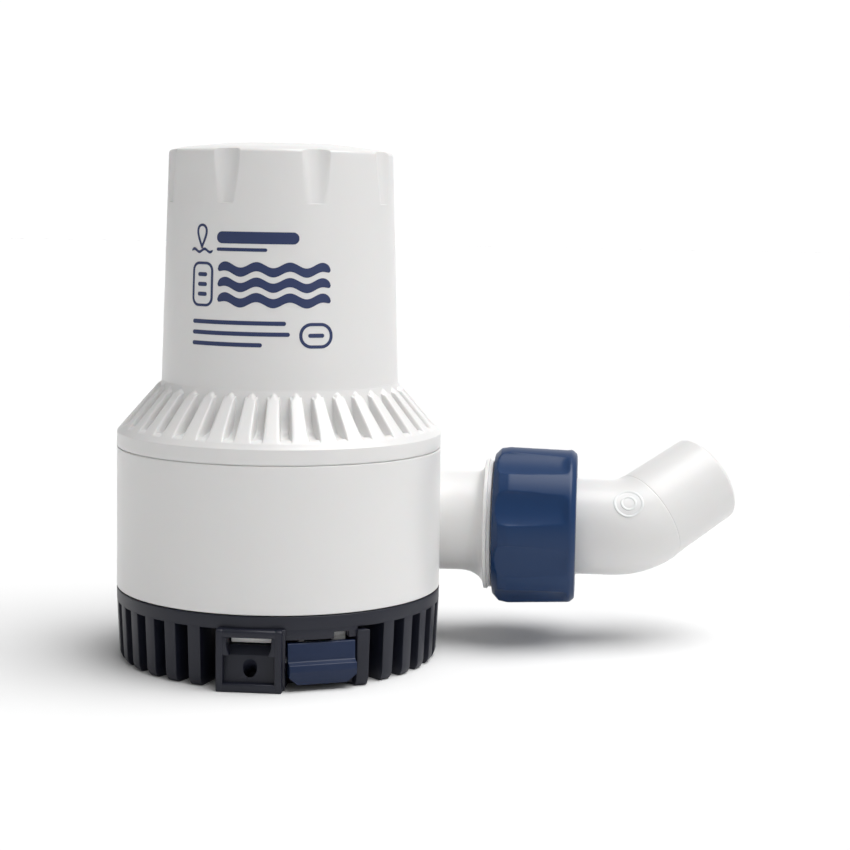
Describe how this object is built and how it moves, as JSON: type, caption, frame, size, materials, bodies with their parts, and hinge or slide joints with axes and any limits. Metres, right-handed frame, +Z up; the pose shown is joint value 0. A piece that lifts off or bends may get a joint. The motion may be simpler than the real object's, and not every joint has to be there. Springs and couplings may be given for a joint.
{
  "type": "bilge pump",
  "caption": "Upright submersible bilge pump: ribbed motor cap on a round body, slotted strainer base with side latches, side outlet with union nut and swivelling hose elbow.",
  "frame": {"origin": "on the pump's vertical axis, in the plane its base stands on", "axes": "+Z up along the motor shaft, +X the way the outlet points, -Y the side with the screw tab and latch that the picture shows"},
  "size_m": [0.196, 0.1105, 0.16],
  "materials": {
    "white_plastic": "smooth moulded ABS, satin gloss",
    "navy_plastic": "fine-grained moulded plastic, dark navy",
    "blue_plastic": "moulded nylon, navy blue, satin",
    "rubber": "black nitrile rubber",
    "steel": "stainless or plated steel",
    "laminations": "stacked electrical steel",
    "copper": "enamelled copper wire and drawn copper",
    "brass": "pressed brass",
    "bronze": "sintered bronze",
    "magnet": "ferrite magnet",
    "carbon": "carbon graphite",
    "nylon": "natural nylon"
  },
  "bodies": {
    "base": {"strainer_base": "navy_plastic", "latch_pin_front": "steel", "latch_pin_rear": "steel"},
    "front_latch": {"latch_front": "blue_plastic"},
    "rear_latch": {"latch_rear": "blue_plastic"},
    "pump_body": {"volute_body": "white_plastic", "motor_housing": "white_plastic", "seal_plate": "nylon", "housing_oring": "rubber", "housing_screw_1": "steel", "housing_screw_2": "steel", "housing_screw_3": "steel", "housing_screw_4": "steel", "cable_gland": "rubber", "shaft_seal": "rubber", "motor_can": "steel", "magnet_a": "magnet", "magnet_b": "magnet", "end_bell": "nylon", "upper_bushing": "bronze", "lower_bushing": "bronze", "brush_a": "carbon", "brush_b": "carbon", "brush_holder_a": "brass", "brush_holder_b": "brass", "brush_spring_a": "steel", "brush_spring_b": "steel", "noise_capacitor": "nylon", "terminal_positive": "brass", "terminal_negative": "brass", "outlet_gasket": "rubber"},
    "rotor": {"motor_shaft": "steel", "armature_core": "laminations", "armature_windings": "copper", "commutator": "copper", "impeller": "nylon", "impeller_clip": "steel"},
    "nut_carrier": {"slip_ring": "nylon"},
    "nut": {"union_nut": "blue_plastic"},
    "elbow": {"outlet_elbow": "white_plastic"}
  },
  "joints": [
    {"name": "front_latch_hinge", "type": "hinge", "parent": "base", "child": "front_latch", "pos_m": [0.01908, -0.04285, 0.009], "axis": [0.9135, 0.4067, 0], "range_deg": [0, 13], "stiffness_Nm_per_rad": 0.06},
    {"name": "rear_latch_hinge", "type": "hinge", "parent": "base", "child": "rear_latch", "pos_m": [-0.01908, 0.04285, 0.009], "axis": [-0.9135, -0.4067, 0], "range_deg": [0, 13], "stiffness_Nm_per_rad": 0.06},
    {"name": "body_lift", "type": "slide", "parent": "base", "child": "pump_body", "axis": [0, 0, 1], "range_m": [0, 0.04]},
    {"name": "rotor_spin", "type": "hinge", "parent": "pump_body", "child": "rotor", "pos_m": [0, 0, 0.05], "axis": [0, 0, 1], "continuous": true},
    {"name": "nut_travel", "type": "slide", "parent": "pump_body", "child": "nut_carrier", "axis": [1, 0, 0], "range_m": [0, 0.008]},
    {"name": "nut_turn", "type": "hinge", "parent": "nut_carrier", "child": "nut", "pos_m": [0.0666, 0.03, 0.0379], "axis": [1, 0, 0], "range_deg": [0, 955]},
    {"name": "elbow_swivel", "type": "hinge", "parent": "pump_body", "child": "elbow", "pos_m": [0.0825, 0.03, 0.0379], "axis": [1, 0, 0], "range_deg": [-180, 180]}
  ],
  "couplings": [
    {"joint": "nut_travel", "follows": "nut_turn", "m_per_rad": 0.00047746}
  ]
}
